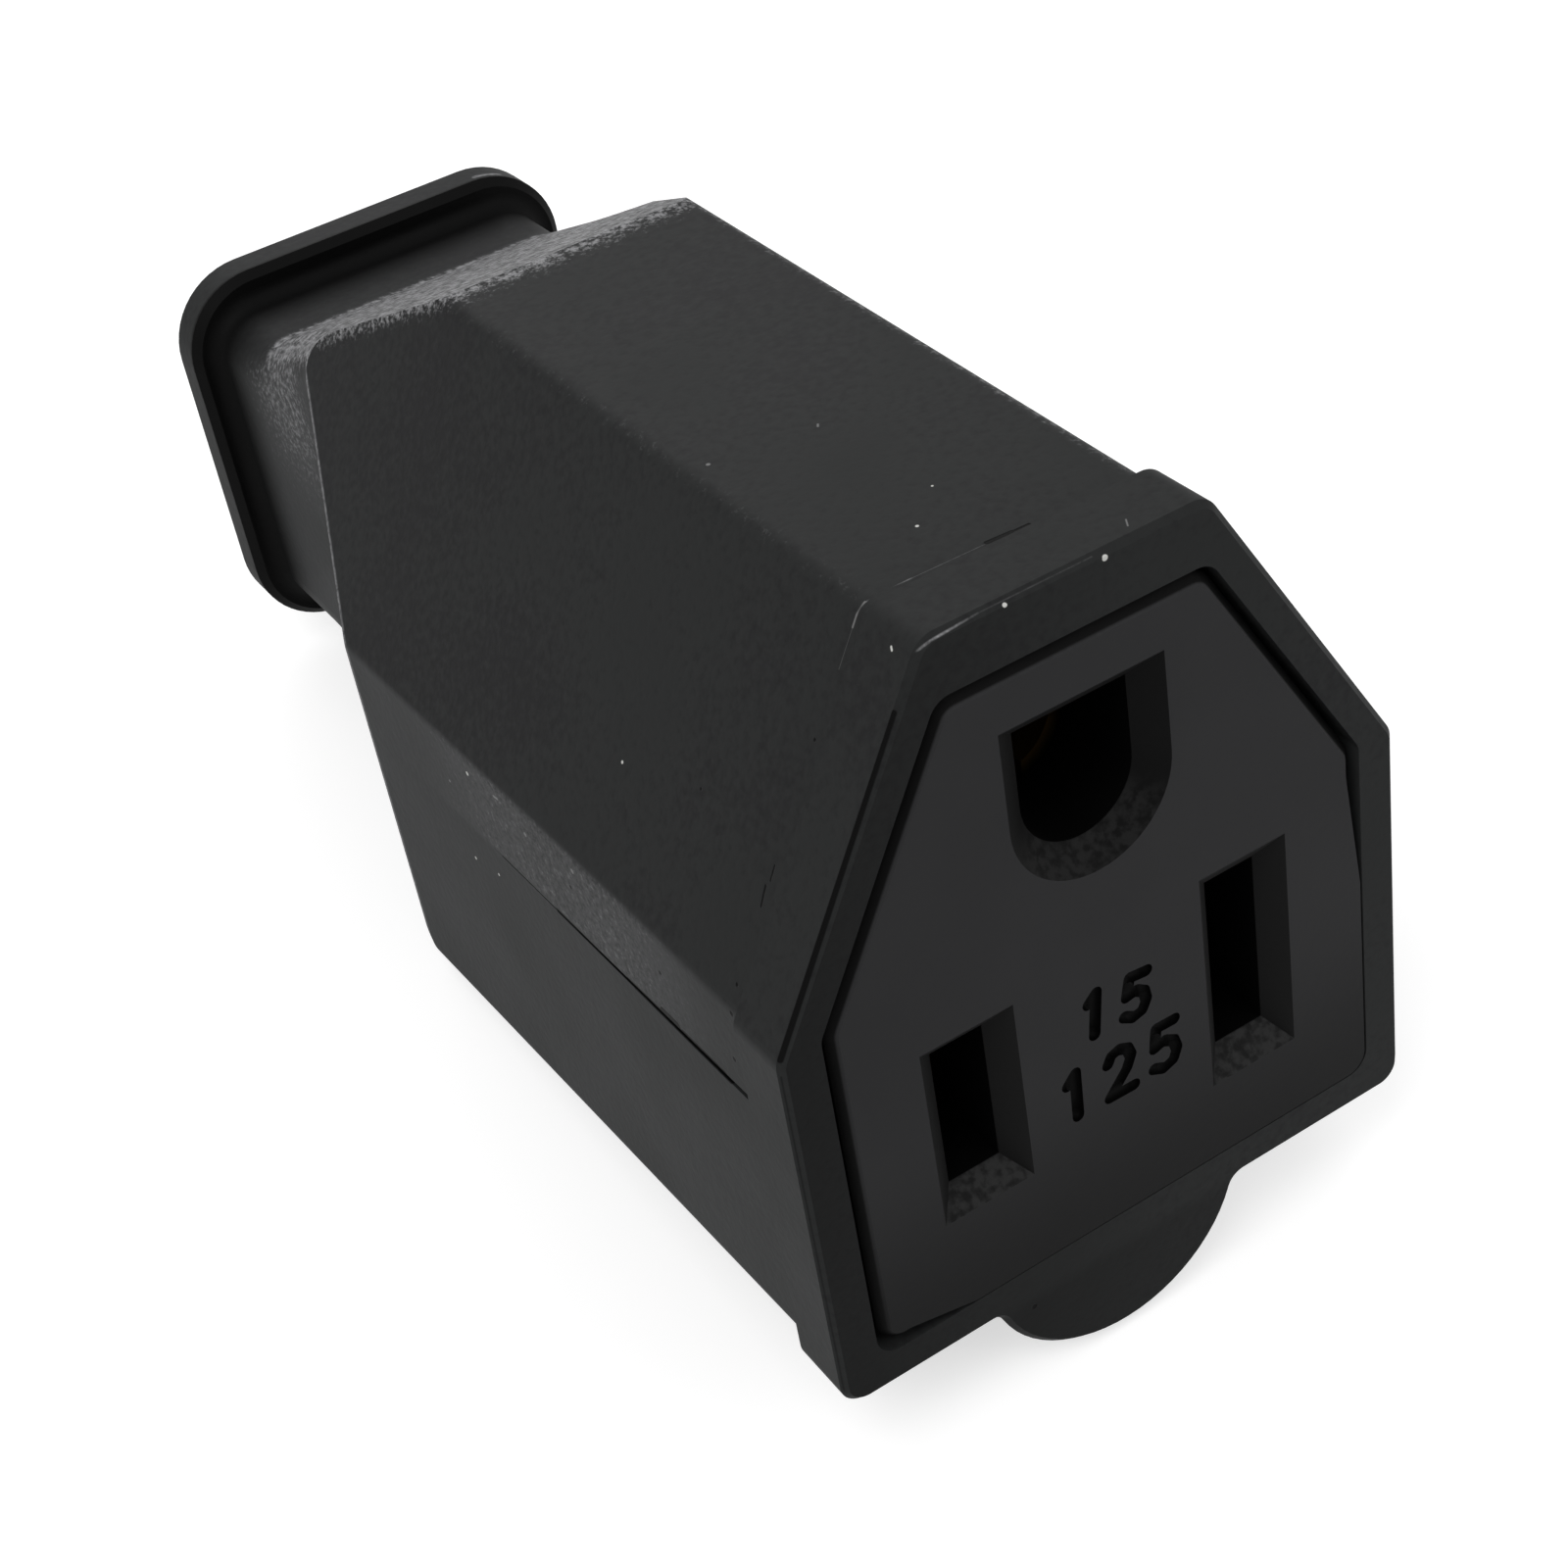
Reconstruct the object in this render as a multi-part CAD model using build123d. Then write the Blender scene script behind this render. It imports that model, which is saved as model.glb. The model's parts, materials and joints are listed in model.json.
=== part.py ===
from build123d import *
from math import hypot, radians, tan
import os

# Three-hole cord connector, in millimetres. The mating face is the plane Y = 0 and looks along -Y,
# the cord leaves along +Y, and Z is up. The origin is on the mating face, midway between the blades.

# Standard hole pattern
blade_spacing = 12.7
ground_rise = 11.9

# Blade slots and the funnels that lead into them, cut slightly higher than the line of the blades
slot_width = 2.3
funnel_width = 4.1
funnel_depth = 0.9
slot_centre_z = 0.2
hot_slot_height = 6.5
hot_funnel_height = 8.6
neutral_slot_height = 8.1
neutral_funnel_height = 10.4
ground_radius = 2.45
ground_top = 15.2
ground_funnel_radius = 3.54
ground_funnel_top = 16.15

# House-shaped outline of the collar: the slants run in and up from the sides
half_width = 13.84
slant_width = 7.87
top_z = 21.2
slant_height = 13.9
bottom_z = -10.5
collar_radius = 1.1
collar_depth = 3.05
collar_edge = 0.25

# Window in the collar: rim widths at the top, the slants, the sides and the bottom
rim_top = 2.5
rim_slant = 1.42
rim_side = 1.75
rim_bottom = 1.7
window_radius = 1.0

# Housing behind the collar: its step-in and the draft that widens it rearwards
step = 0.42
draft = 0.8
wall = 1.8
body_radius = 1.0

# Neck and rear flange: the neck is narrower than the collar, and the flange stands out from the neck
overall_length = 61.0
cord_z = 4.25
neck_step_in = 4.94
neck_half_height = 8.2
neck_radius = 2.2
neck_blend = 0.8
flange_side_reach = 1.4
flange_top_reach = 1.7
flange_radius = 4.0
flange_thickness = 2.5
flange_edge = 0.4
cord_hole_radius = 5.2

# Shoulders that narrow to the neck: the length of each, and of the straight neck between it and the flange
top_shoulder_length = 19.6
top_neck_length = 4.5
side_shoulder_length = 10.1
side_neck_length = 13.1
bottom_shoulder_length = 17.2
bottom_neck_length = 6.0
shoulder_blend = 4.0

# Half-round finger lug under the collar
lug_radius = 6.05
lug_centre_x = -0.75
lug_centre_z = -8.8
lug_fillet = 0.6

# Parting line between the two shells, with a lap joint behind it and a sprung front end
seam_z = 3.0
tongue_thickness = 0.8
tongue_height = 1.0
seam_play = 0.1
sprung_gap = 0.3
sprung_length = 21.0

# Front insert and the carrier that closes it
insert_gap = 0.28
insert_edge = 0.4
insert_length = 14.5
core_play = 0.3
carrier_length = 3.8
pocket_front = 5.0
pocket_half_width = 1.85
pocket_play = 0.3

# Contacts
leaf_thickness = 0.6
leaf_mouth = 1.35
leaf_throat = 0.95
contact_clearance = 0.6
throat_length = 1.6
bridge_length = 1.5
bridge_clearance = 0.5
hot_leaf_height = 5.6
neutral_leaf_height = 7.0
barrel_bore = 2.36
barrel_wall = 0.65
barrel_slit = 1.6
tail_thickness = 0.8
tail_half_height = 2.6
tail_offset = 1.45
tail_overhang = 2.8
tail_play = 0.1

# Terminal screws and pressure plates
terminal_clearance = 0.8
terminal_screw_radius = 1.7
terminal_head_radius = 2.5
terminal_head_height = 1.6
terminal_shank = 4.2
driver_slot_width = 0.7
driver_slot_depth = 0.8
plate_thickness = 1.0
plate_half_length = 2.5
plate_half_width = 2.4
plate_groove = 0.5

# Clearances of screws, and how far a pilot hole is drilled past its screw
screw_play = 0.02
head_play = 0.15
pilot_extra = 1.0

# Screw that holds the carrier to the insert
core_screw_z = -3.4
core_screw_radius = 1.3
core_head_radius = 2.4
core_head_height = 1.4
core_screw_bite = 8.0

# Closing screws of the housing
closing_step_in = 5.64
closing_clearance = 0.2
closing_radius = 1.5
closing_head_radius = 2.6
closing_head_height = 1.7
closing_recess = 0.5
closing_bite = 6.5
boss_radius = 3.6

# Cord clamp
clamp_distance = 18.3
clamp_half_length = 2.4
clamp_step_in = 0.9
clamp_gap = 0.6
clamp_groove_radius = 4.0
clamp_bar_height = 4.6
clamp_saddle_height = 5.4
clamp_screw_step_in = 2.1
clamp_screw_radius = 1.3
clamp_head_radius = 1.9
clamp_head_height = 1.5
nut_half_size = 1.7
nut_height = 1.6

# Ribs in the shells
rib_thickness = 1.5
rib_root = 0.9
rib_play = 0.1
top_rib_x = 4.6
top_rib_low = 13.2
bottom_rib_half_width = 4.0
bottom_rib_top = -5.2
pedestal_step_in = 1.5

# How near an edge or corner lies to the place where it is looked for
pick_range = 0.05

# Worked-out sizes
top_half_width = half_width - slant_width
shoulder_z = top_z - slant_height
neck_half_width = half_width - neck_step_in
flange_half_width = neck_half_width + flange_side_reach
flange_half_height = neck_half_height + flange_top_reach
slant_length = hypot(half_width - top_half_width, top_z - shoulder_z)
slant_nx = (top_z - shoulder_z) / slant_length
slant_nz = (half_width - top_half_width) / slant_length
slant_reach = slant_nx * top_half_width + slant_nz * top_z
neck_end = overall_length - flange_thickness
neck_top = cord_z + neck_half_height
neck_bottom = cord_z - neck_half_height
growth_rate = tan(radians(draft))
far = 2 * overall_length
top_shoulder_end = neck_end - top_neck_length
top_shoulder_start = top_shoulder_end - top_shoulder_length
side_shoulder_end = neck_end - side_neck_length
side_shoulder_start = side_shoulder_end - side_shoulder_length
bottom_shoulder_end = neck_end - bottom_neck_length
bottom_shoulder_start = bottom_shoulder_end - bottom_shoulder_length
carrier_rear = insert_length + carrier_length
contact_front = pocket_front + contact_clearance
contact_rear = insert_length - bridge_clearance
throat_depth = contact_front + throat_length
leaf_rear = contact_rear - bridge_length
terminal_y = carrier_rear + terminal_clearance + plate_half_length
tail_rear = terminal_y + tail_overhang
closing_x = half_width - closing_step_in
closing_y = tail_rear + closing_clearance + boss_radius
clamp_y = neck_end - clamp_distance
clamp_half_width = neck_half_width - clamp_step_in
clamp_screw_x = clamp_half_width - clamp_screw_step_in
pedestal_half_width = clamp_half_width - pedestal_step_in

# Planes whose own x axis is the model's Y: seen from above, and seen from the side
plan_plane = Plane(origin=(0, 0, 0), x_dir=(0, 1, 0), z_dir=(0, 0, 1))
side_plane = Plane(origin=(0, 0, 0), x_dir=(0, 1, 0), z_dir=(1, 0, 0))


def depth_plane(y):
    """Plane at depth Y = y whose own x and y axes are the model's X and Z."""
    return Plane(origin=(0, y, 0), x_dir=(1, 0, 0), z_dir=(0, -1, 0))


def slab(sketch, start, end):
    """The sketch, drawn in X and Z, as a solid from depth start to depth end."""
    return extrude(depth_plane(end) * sketch, amount=end - start, dir=(0, -1, 0))


def block(x_low, x_high, y_low, y_high, z_low, z_high):
    """A box from its limits along the three axes."""
    size = (x_high - x_low, y_high - y_low, z_high - z_low)
    return Pos(x_low, y_low, z_low) * Box(*size, align=(Align.MIN, Align.MIN, Align.MIN))


def rod(radius, x, y, z_low, z_high):
    """An upright cylinder."""
    base = (Align.CENTER, Align.CENTER, Align.MIN)
    return Pos(x, y, z_low) * Cylinder(radius, z_high - z_low, align=base)


def both_sides(piece):
    """The piece and its mirror image across the plane X = 0."""
    return piece + mirror(piece, about=Plane.YZ)


def house_corners(top_in, slant_in, side_in, bottom_in):
    """Corners of the house-shaped outline in X and Z, each edge moved in from the collar's outline."""
    top = top_z - top_in
    side = half_width - side_in
    bottom = bottom_z + bottom_in
    reach = slant_reach - slant_in
    top_x = (reach - slant_nz * top) / slant_nx
    shoulder = (reach - slant_nx * side) / slant_nz
    return [
        (-top_x, top), (-side, shoulder), (-side, bottom),
        (side, bottom), (side, shoulder), (top_x, top)]


def house(top_in, slant_in, side_in, bottom_in, radius):
    """House-shaped outline, each edge moved in from the collar's outline, with rounded corners."""
    outline = Polygon(*house_corners(top_in, slant_in, side_in, bottom_in), align=None)
    return fillet(outline.vertices(), radius)


def even_house(inset, radius):
    """House-shaped outline with every edge moved in by the same amount."""
    return house(inset, inset, inset, inset, radius)


def growth(y):
    """How far the draft has widened the housing at depth y."""
    return growth_rate * (y - collar_depth)


def shoulder_profile(high, low, inset):
    """Two opposite shoulders and the neck between them, in depth and reach, moved in by the inset.

    high and low each hold the reach and depth where that shoulder starts and the same where it ends.
    """
    edges = []
    for sign, (start_reach, start, end_reach, end) in ((1, high), (-1, low)):
        slope = (start_reach - end_reach) / (end - start)
        neck = end_reach - inset
        wide = start_reach + slope * start - inset * hypot(1, slope)
        neck_y = (wide - neck) / slope
        edges.append([(0, sign * wide), (neck_y, sign * neck), (neck_end, sign * neck)])
    upper, lower = edges
    outline = Polygon(*upper, *reversed(lower), align=None)
    bends = [v for v in outline.vertices() if pick_range < v.X < neck_end - pick_range]
    return fillet(bends, shoulder_blend)


def drafted_prism(inset):
    """Flat-sided prism behind the collar, wider at the rear than in front, with rounded long edges."""
    ends = []
    for y in (collar_depth, neck_end):
        shift = step + inset - growth(y)
        ends.append([Vector(x, y, z) for x, z in house_corners(shift, shift, shift, shift)])
    front, rear = ends
    sides = [(front[k - 1], front[k], rear[k], rear[k - 1]) for k in range(len(front))]
    faces = [Face(Wire.make_polygon(corners, close=True)) for corners in (front, rear, *sides)]
    prism = Solid(Shell(faces))
    return fillet([e for e in prism.edges() if e.bounding_box().size.Y > neck_radius], body_radius)


def body_form(inset):
    """The housing behind the collar, with every surface moved in by the inset."""
    prism = drafted_prism(inset)
    side_reach = half_width - step + growth(side_shoulder_start)
    top_reach = top_z - step + growth(top_shoulder_start)
    bottom_reach = -bottom_z - step + growth(bottom_shoulder_start)
    side = (side_reach, side_shoulder_start, neck_half_width, side_shoulder_end)
    top = (top_reach, top_shoulder_start, neck_top, top_shoulder_end)
    bottom = (bottom_reach, bottom_shoulder_start, -neck_bottom, bottom_shoulder_end)
    plan = extrude(plan_plane * shoulder_profile(side, side, inset), amount=far, both=True)
    elevation = extrude(side_plane * shoulder_profile(top, bottom, inset), amount=far, both=True)
    return prism & plan & elevation


def neck_edges(form):
    """The long edges where the neck's sides meet its top and bottom."""
    return [e for e in form.edges()
            if e.center().Y > side_shoulder_end and e.bounding_box().size.Y > neck_radius
            and abs(abs(e.center().X) - neck_half_width) < pick_range]


def flange_root_edges(form):
    """The edges where the neck runs into the front of the flange."""
    return [e for e in form.edges()
            if abs(e.center().Y - neck_end) < pick_range and e.bounding_box().size.Y < pick_range
            and abs(e.center().X) < neck_half_width + pick_range
            and abs(e.center().Z - cord_z) < neck_half_height + pick_range]


def collar_outline():
    """Outline of the collar with the finger lug below it."""
    outline = even_house(0, collar_radius) + Pos(lug_centre_x, lug_centre_z) * Circle(lug_radius)
    roots = [v for v in outline.vertices()
             if abs(v.Y - bottom_z) < pick_range and abs(v.X - lug_centre_x) < lug_radius]
    return fillet(roots, lug_fillet)


def outer_form():
    """The closed outside of the whole housing, before it is hollowed and parted."""
    body = body_form(0)
    body = fillet(neck_edges(body), neck_radius)
    collar = slab(collar_outline(), 0, collar_depth)
    collar = chamfer(collar.faces().sort_by(Axis.Y)[0].edges(), collar_edge)
    flange_outline = RectangleRounded(2 * flange_half_width, 2 * flange_half_height, flange_radius)
    flange = slab(Pos(0, cord_z) * flange_outline, neck_end, overall_length)
    flange_ends = flange.faces().sort_by(Axis.Y)[0].edges() + flange.faces().sort_by(Axis.Y)[-1].edges()
    flange = chamfer(flange_ends, flange_edge)
    form = body + flange
    form = fillet(flange_root_edges(form), neck_blend)
    return form + collar


def cavity():
    """The hollow inside the housing, from the back of the collar to the rear wall."""
    return body_form(wall)


def window(inset, radius):
    """The collar's window, moved in by the inset."""
    return house(rim_top + inset, rim_slant + inset, rim_side + inset, rim_bottom + inset, radius)


def terminal_room():
    """Room that the housing keeps clear for the heads of the three terminal screws."""
    radius = terminal_head_radius + head_play
    height = plate_thickness + terminal_head_height + head_play
    blade_reach = blade_spacing / 2 + tail_offset + tail_thickness / 2 + height
    ground_reach = ground_rise + barrel_bore + barrel_wall + height
    across = Rot(0, 90, 0) * Cylinder(radius, 2 * blade_reach)
    return Pos(0, terminal_y, slot_centre_z) * across + rod(radius, 0, terminal_y, ground_rise, ground_reach)


def housing_shell():
    """The hollow housing in one piece: window in front, cord hole behind."""
    shell = outer_form() - cavity() - terminal_room()
    shell -= slab(window(0, window_radius), -collar_edge, collar_depth)
    hole = slab(Pos(0, cord_z) * Circle(cord_hole_radius), neck_end - 2 * wall, far)
    return shell - hole


def floor_z(y):
    """Underside of the housing at depth y, ahead of the rear shoulders."""
    return bottom_z + step - growth(y)


def screw_bosses(z_low, z_high):
    """The pair of round bosses for the closing screws, rooted in the wall of the housing."""
    bosses = both_sides(rod(boss_radius, closing_x, closing_y, z_low, z_high))
    return bosses & body_form(wall - rib_root)


def make_upper_shell(shell):
    """Collar, lug and everything above the parting line, with its bosses and ribs."""
    lower_room = block(-far, far, collar_depth, far, -far, seam_z)
    rebate = body_form(wall - tongue_thickness) & block(
        -far, far, collar_depth, neck_end - wall, seam_z, seam_z + tongue_height + seam_play)
    upper = shell - lower_room - rebate
    bosses = screw_bosses(seam_z, top_z)
    ribs = both_sides(block(
        top_rib_x - rib_thickness / 2, top_rib_x + rib_thickness / 2,
        carrier_rear + rib_play, carrier_rear + rib_play + rib_thickness, top_rib_low, top_z))
    upper += bosses + (ribs & body_form(wall - rib_root))
    pilot_top = seam_z + closing_bite + pilot_extra
    pilot = rod(closing_radius + screw_play, closing_x, closing_y, seam_z, pilot_top)
    return upper - both_sides(pilot)


def make_lower_shell(shell):
    """The tray below the parting line, with its tongue, bosses, rib and clamp pedestal."""
    room = block(-far, far, collar_depth + seam_play, far, -far, seam_z)
    lower = shell & room
    tongue_start = collar_depth + sprung_gap
    tongue_zone = block(
        -far, far, tongue_start, neck_end - wall - seam_play, seam_z - tongue_height,
        seam_z + tongue_height)
    tongue = (body_form(wall - tongue_thickness + seam_play) - cavity()) & tongue_zone
    lower += tongue
    lower += screw_bosses(floor_z(closing_y) + wall - rib_root, seam_z - seam_play)
    rib = block(
        -bottom_rib_half_width, bottom_rib_half_width, carrier_rear + rib_play,
        carrier_rear + rib_play + rib_thickness, bottom_z, bottom_rib_top)
    saddle_bottom = cord_z - clamp_gap - clamp_saddle_height
    pedestal = block(
        -pedestal_half_width, pedestal_half_width, clamp_y - clamp_half_length,
        clamp_y + clamp_half_length, bottom_z, saddle_bottom)
    lower += (rib + pedestal) & body_form(wall - rib_root)
    recess_top = floor_z(closing_y) + closing_recess + closing_head_height + screw_play
    hole = rod(closing_radius + head_play, closing_x, closing_y, bottom_z, seam_z)
    recess = rod(closing_head_radius + head_play, closing_x, closing_y, -far, recess_top)
    lower -= both_sides(hole + recess)
    sprung = Polygon(
        (collar_depth, seam_z + pick_range), (collar_depth, seam_z - sprung_gap),
        (collar_depth + sprung_length, seam_z), align=None)
    outer_band = body_form(-wall) - body_form(wall - tongue_thickness + seam_play)
    return lower - (extrude(side_plane * sprung, amount=far, both=True) & outer_band)


def funnel(x, slot_height, funnel_height, slot_end):
    """A blade slot with its funnel mouth."""
    centre = Pos(x, slot_centre_z)
    mouth = depth_plane(0) * centre * Rectangle(funnel_width, funnel_height)
    throat = depth_plane(funnel_depth) * centre * Rectangle(slot_width, slot_height)
    passage = slab(centre * Rectangle(slot_width, slot_height), funnel_depth, slot_end)
    return loft([mouth, throat], ruled=True) + passage


def arch(radius, top):
    """Upside-down arch of the ground hole: half round below, flat above."""
    round_part = Pos(0, ground_rise) * Circle(radius)
    straight = Polygon(
        (-radius, ground_rise), (radius, ground_rise), (radius, top), (-radius, top), align=None)
    return round_part + straight


def ground_hole(end):
    """The ground hole with its funnel mouth."""
    mouth = arch(ground_funnel_radius, ground_funnel_top)
    throat = arch(ground_radius, ground_top)
    ends = [depth_plane(0) * mouth.face(), depth_plane(funnel_depth) * throat.face()]
    return loft(ends, ruled=True) + slab(throat, funnel_depth, end)


def core_outline():
    """Outline of the insert's core and of the carrier, just inside the housing's walls."""
    inset = step + wall + core_play
    return even_house(inset, body_radius)


def tail_block(side, half_height, start, end, play):
    """Straight tail of a blade contact, on the outer side of its leaves."""
    inner = blade_spacing / 2 + tail_offset - tail_thickness / 2 - play
    outer = blade_spacing / 2 + tail_offset + tail_thickness / 2 + play
    x_low, x_high = sorted((side * inner, side * outer))
    height = half_height + play
    return block(x_low, x_high, start, end, slot_centre_z - height, slot_centre_z + height)


def ground_tail(start, end, play):
    """Flat tail of the ground contact, on top of its barrel."""
    top = ground_rise + barrel_bore + barrel_wall
    return block(
        -tail_half_height - play, tail_half_height + play, start, end,
        top - tail_thickness - play, top + play)


def make_face_insert():
    """Front insert: face plate in the collar's window, and a core with a pocket for each contact."""
    plate = slab(window(insert_gap, window_radius), 0, collar_depth)
    front_edges = plate.faces().sort_by(Axis.Y)[0].edges()
    plate = chamfer(front_edges, insert_edge)
    insert = plate + slab(core_outline(), collar_depth, insert_length)
    half = blade_spacing / 2
    insert -= funnel(-half, hot_slot_height, hot_funnel_height, pocket_front)
    insert -= funnel(half, neutral_slot_height, neutral_funnel_height, pocket_front)
    insert -= ground_hole(pocket_front)
    for x, leaf_height in ((-half, hot_leaf_height), (half, neutral_leaf_height)):
        pocket = Rectangle(2 * pocket_half_width, leaf_height + 2 * pocket_play)
        insert -= slab(Pos(x, slot_centre_z) * pocket, pocket_front, insert_length)
    for side in (-1, 1):
        insert -= tail_block(side, tail_half_height, leaf_rear, insert_length, pocket_play)
    barrel_room = Circle(barrel_bore + barrel_wall + pocket_play)
    insert -= slab(Pos(0, ground_rise) * barrel_room, pocket_front, insert_length)
    insert -= ground_tail(leaf_rear, insert_length, pocket_play)
    pilot = Pos(0, core_screw_z) * Circle(core_screw_radius + screw_play)
    return insert - slab(pilot, insert_length - core_screw_bite - pilot_extra, insert_length)


def make_contact_carrier():
    """Plate that closes the pockets, with a slot for each contact's tail."""
    carrier = slab(core_outline(), insert_length, carrier_rear)
    for side in (-1, 1):
        carrier -= tail_block(side, tail_half_height, insert_length, carrier_rear, tail_play)
    carrier -= ground_tail(insert_length, carrier_rear, tail_play)
    clearance_hole = Circle(core_screw_radius + head_play)
    carrier -= slab(Pos(0, core_screw_z) * clearance_hole, insert_length, carrier_rear)
    seat = Circle(core_head_radius + head_play)
    return carrier - slab(Pos(0, core_screw_z) * seat, carrier_rear - core_head_height, carrier_rear)


def make_blade_contact(side, leaf_height):
    """Brass contact bent from one strip: two sprung leaves, a bridge behind them and a screw tail."""
    centre = side * blade_spacing / 2
    path = Polyline(
        (centre - leaf_mouth, contact_front), (centre - leaf_throat, throat_depth),
        (centre - leaf_mouth, leaf_rear), (centre - leaf_mouth, contact_rear),
        (centre + leaf_mouth, contact_rear), (centre + leaf_mouth, leaf_rear),
        (centre + leaf_throat, throat_depth), (centre + leaf_mouth, contact_front))
    strip = trace(path, leaf_thickness)
    leaves = extrude(Pos(0, 0, slot_centre_z - leaf_height / 2) * strip, amount=leaf_height)
    tail = tail_block(side, tail_half_height, leaf_rear + leaf_thickness, tail_rear, 0)
    hole = Rot(0, 90, 0) * Cylinder(terminal_screw_radius + screw_play, blade_spacing)
    return leaves + tail - Pos(side * blade_spacing, terminal_y, slot_centre_z) * hole


def make_ground_contact():
    """Brass sleeve for the round pin, split along its lower side, with a flat screw tail."""
    ring = Circle(barrel_bore + barrel_wall) - Circle(barrel_bore)
    slit = Pos(0, -barrel_bore) * Rectangle(barrel_slit, 2 * barrel_bore)
    sleeve = slab(Pos(0, ground_rise) * (ring - slit), contact_front, contact_rear + leaf_thickness / 2)
    tail = ground_tail(leaf_rear + leaf_thickness, tail_rear, 0)
    clear_bore = slab(Pos(0, ground_rise) * Circle(barrel_bore), contact_front, insert_length)
    hole = rod(terminal_screw_radius + screw_play, 0, terminal_y, ground_rise, top_z)
    return sleeve + (tail - clear_bore) - hole


def terminal_screw_solid():
    """Slotted binding screw along +Z, its head seated on the plane Z = 0."""
    head = rod(terminal_head_radius, 0, 0, 0, terminal_head_height)
    shank = rod(terminal_screw_radius, 0, 0, -terminal_shank, 0)
    slot = block(
        -far, far, -driver_slot_width / 2, driver_slot_width / 2,
        terminal_head_height - driver_slot_depth, far)
    return head + shank - slot


def pressure_plate_solid():
    """Wire clamping plate on the plane Z = 0, with a hole for its screw and three gripping grooves."""
    plate = block(
        -plate_half_width, plate_half_width, -plate_half_length, plate_half_length, 0, plate_thickness)
    groove = Rot(45, 0, 0) * Box(far, plate_groove, plate_groove)
    for shift in (-plate_half_length / 2, 0, plate_half_length / 2):
        plate -= Pos(0, shift, 0) * groove
    return plate - rod(terminal_screw_radius + head_play, 0, 0, -far, far)


def blade_terminal(side, piece, lift):
    """Places a terminal piece on the outer face of a blade contact's tail, raised by the lift."""
    outer = blade_spacing / 2 + tail_offset + tail_thickness / 2 + lift
    turn = Rot(0, side * 90, 0)
    return Pos(side * outer, terminal_y, slot_centre_z) * turn * piece


def ground_terminal(piece, lift):
    """Places a terminal piece on top of the ground contact's tail, raised by the lift."""
    return Pos(0, terminal_y, ground_rise + barrel_bore + barrel_wall + lift) * piece


def make_core_screw():
    """Screw along the depth that pulls the carrier against the insert."""
    seat = carrier_rear - core_head_height
    head = slab(Pos(0, core_screw_z) * Circle(core_head_radius), seat, carrier_rear)
    shank = slab(Pos(0, core_screw_z) * Circle(core_screw_radius), insert_length - core_screw_bite, seat)
    slot = block(
        -far, far, carrier_rear - driver_slot_depth, far, core_screw_z - driver_slot_width / 2,
        core_screw_z + driver_slot_width / 2)
    return head + shank - slot


def make_closing_screw(side):
    """Screw that closes the housing, its cross-slotted head sunk in the underside."""
    x = side * closing_x
    seat = floor_z(closing_y) + closing_recess
    head = rod(closing_head_radius, x, closing_y, seat, seat + closing_head_height)
    shank = rod(closing_radius, x, closing_y, seat + closing_head_height, seam_z + closing_bite)
    bar = Box(closing_head_radius, driver_slot_width, 2 * driver_slot_depth)
    cross = bar + Rot(0, 0, 90) * bar
    return head + shank - Pos(x, closing_y, seat) * cross


def clamp_jaw(z_low, z_high):
    """One jaw of the cord clamp, grooved for the cord and drilled for its two screws."""
    jaw = block(
        -clamp_half_width, clamp_half_width, clamp_y - clamp_half_length,
        clamp_y + clamp_half_length, z_low, z_high)
    jaw -= slab(Pos(0, cord_z) * Circle(clamp_groove_radius), 0, overall_length)
    for side in (-1, 1):
        jaw -= rod(clamp_screw_radius + head_play, side * clamp_screw_x, clamp_y, -far, far)
    return jaw


def make_clamp_bar():
    """Upper jaw, pulled down on the cord by the clamp screws."""
    low = cord_z + clamp_gap
    return clamp_jaw(low, low + clamp_bar_height)


def make_clamp_saddle():
    """Lower jaw on its pedestal, with a pocket underneath for each nut."""
    top = cord_z - clamp_gap
    bottom = top - clamp_saddle_height
    saddle = clamp_jaw(bottom, top)
    size = nut_half_size + head_play
    for side in (-1, 1):
        x = side * clamp_screw_x
        saddle -= block(
            x - size, x + size, clamp_y - size, clamp_y + size, bottom, bottom + nut_height + head_play)
    return saddle


def make_clamp_screw(side):
    """Slotted screw that draws the two jaws of the cord clamp together."""
    x = side * clamp_screw_x
    top = cord_z + clamp_gap + clamp_bar_height
    bottom = cord_z - clamp_gap - clamp_saddle_height
    slot = block(
        x - far, x + far, clamp_y - driver_slot_width / 2, clamp_y + driver_slot_width / 2,
        top + clamp_head_height - driver_slot_depth, far)
    head = rod(clamp_head_radius, x, clamp_y, top, top + clamp_head_height) - slot
    return head + rod(clamp_screw_radius, x, clamp_y, bottom, top)


def make_clamp_nut(side):
    """Square nut held in the saddle's pocket."""
    x = side * clamp_screw_x
    bottom = cord_z - clamp_gap - clamp_saddle_height
    nut = block(
        x - nut_half_size, x + nut_half_size, clamp_y - nut_half_size, clamp_y + nut_half_size,
        bottom, bottom + nut_height)
    return nut - rod(clamp_screw_radius + screw_play, x, clamp_y, -far, far)


shell = housing_shell()
terminal_screw = terminal_screw_solid()
pressure_plate = pressure_plate_solid()

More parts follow.
